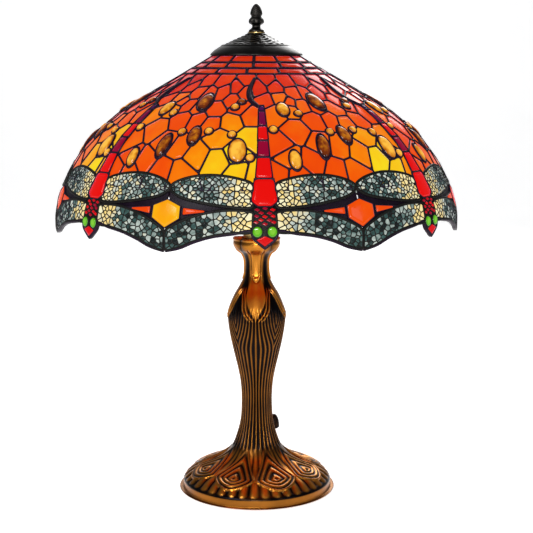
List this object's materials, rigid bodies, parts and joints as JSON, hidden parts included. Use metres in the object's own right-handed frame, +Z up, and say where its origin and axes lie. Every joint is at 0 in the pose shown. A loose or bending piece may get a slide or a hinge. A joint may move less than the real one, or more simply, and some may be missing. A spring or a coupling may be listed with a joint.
{
  "type": "table lamp",
  "caption": "Table lamp with a domed leaded glass dragonfly shade over two bulbs, on a fluted cast bronze foot and stem, closed by a cap and a screwed finial.",
  "frame": {"origin": "middle of the foot on the table, on the axis of the stem", "axes": "+Z up the stem, -Y towards the front, +X to the right seen from the front"},
  "size_m": [0.508, 0.508, 0.6235],
  "materials": {
    "bronze": "antique bronze patina on the cast foot and stem",
    "dark_bronze": "near-black satin bronze",
    "brass": "bare brass",
    "steel": "zinc-plated steel",
    "iron": "raw cast ballast",
    "felt": "green felt",
    "rubber": "black rubber",
    "phenolic": "moulded socket liner",
    "wire": "insulated wire",
    "wire_nut": "moulded wire nut",
    "bulb_glass": "frosted bulb, lit",
    "bulb_base": "threaded bulb base",
    "solder": "solder contact",
    "glass_brick": "opalescent red-orange art glass",
    "glass_field": "streaky orange and yellow art glass",
    "glass_red": "red and maroon art glass",
    "glass_eye": "green pressed glass jewel",
    "glass_jewel_dark": "amber-brown pressed cabochon",
    "glass_jewel_gold": "gold pressed cabochon",
    "glass_wing": "iridescent ripple glass",
    "glass_hexagon": "orange and yellow art glass",
    "lead": "soldered lead came with a dark patina",
    "filigree": "etched filigree with a black patina"
  },
  "bodies": {
    "base": {"base_casting": "bronze", "felt_pad": "felt", "ballast_disc": "iron", "pipe_nut": "steel", "pipe_washer": "steel", "lamp_pipe": "steel", "cord_grommet": "rubber", "check_ring": "brass", "lamp_wires": "wire", "cluster_body": "brass", "cluster_lid": "brass", "wire_nuts": "wire_nut", "socket_nipples": "steel", "socket_shell_left": "brass", "socket_shell_right": "brass", "socket_liner_left": "phenolic", "socket_liner_right": "phenolic", "socket_screw_shell_left": "brass", "socket_screw_shell_right": "brass", "socket_contact_left": "brass", "socket_contact_right": "brass", "rod_nut": "brass", "shade_rod": "steel", "wheel_nut": "brass", "shade_wheel": "brass"},
    "bulb_left": {"bulb_glass_left": "bulb_glass", "bulb_base_left": "bulb_base", "bulb_tip_left": "solder"},
    "bulb_right": {"bulb_glass_right": "bulb_glass", "bulb_base_right": "bulb_base", "bulb_tip_right": "solder"},
    "cap": {"cap": "dark_bronze", "cap_washer": "brass"},
    "finial": {"finial": "dark_bronze", "finial_bush": "brass"},
    "shade": {"aperture_ring": "brass", "brick_glass_row_1": "glass_brick", "brick_glass_row_2": "glass_brick", "brick_glass_row_3": "glass_brick", "field_glass_upper": "glass_field", "field_glass_middle": "glass_field", "field_glass_lower": "glass_field", "dragonfly_tails": "glass_red", "dragonfly_thoraxes": "glass_red", "thorax_filigree": "filigree", "dragonfly_heads": "glass_red", "dragonfly_eyes": "glass_eye", "upper_wing_glass": "glass_wing", "upper_wing_filigree": "filigree", "lower_wing_glass": "glass_wing", "lower_wing_filigree": "filigree", "gap_hexagons": "glass_hexagon", "large_jewels": "glass_jewel_dark", "small_jewels": "glass_jewel_gold", "lead_came": "lead"}
  },
  "joints": [
    {"name": "shade_lift", "type": "slide", "parent": "base", "child": "cap", "axis": [0, 0, 1], "range_m": [0, 0.05]},
    {"name": "shade_turn", "type": "hinge", "parent": "cap", "child": "shade", "pos_m": [0, 0, 0.5], "axis": [0, 0, 1], "continuous": true},
    {"name": "finial_turn", "type": "hinge", "parent": "cap", "child": "finial", "pos_m": [0, 0, 0.59], "axis": [0, 0, 1], "continuous": true},
    {"name": "bulb_left_turn", "type": "hinge", "parent": "base", "child": "bulb_left", "pos_m": [-0.015, 0, 0.344], "axis": [-0.5736, 0, 0.8192], "range_deg": [0, 900]},
    {"name": "bulb_right_turn", "type": "hinge", "parent": "base", "child": "bulb_right", "pos_m": [0.015, 0, 0.344], "axis": [0.5736, 0, 0.8192], "range_deg": [0, 900]}
  ]
}
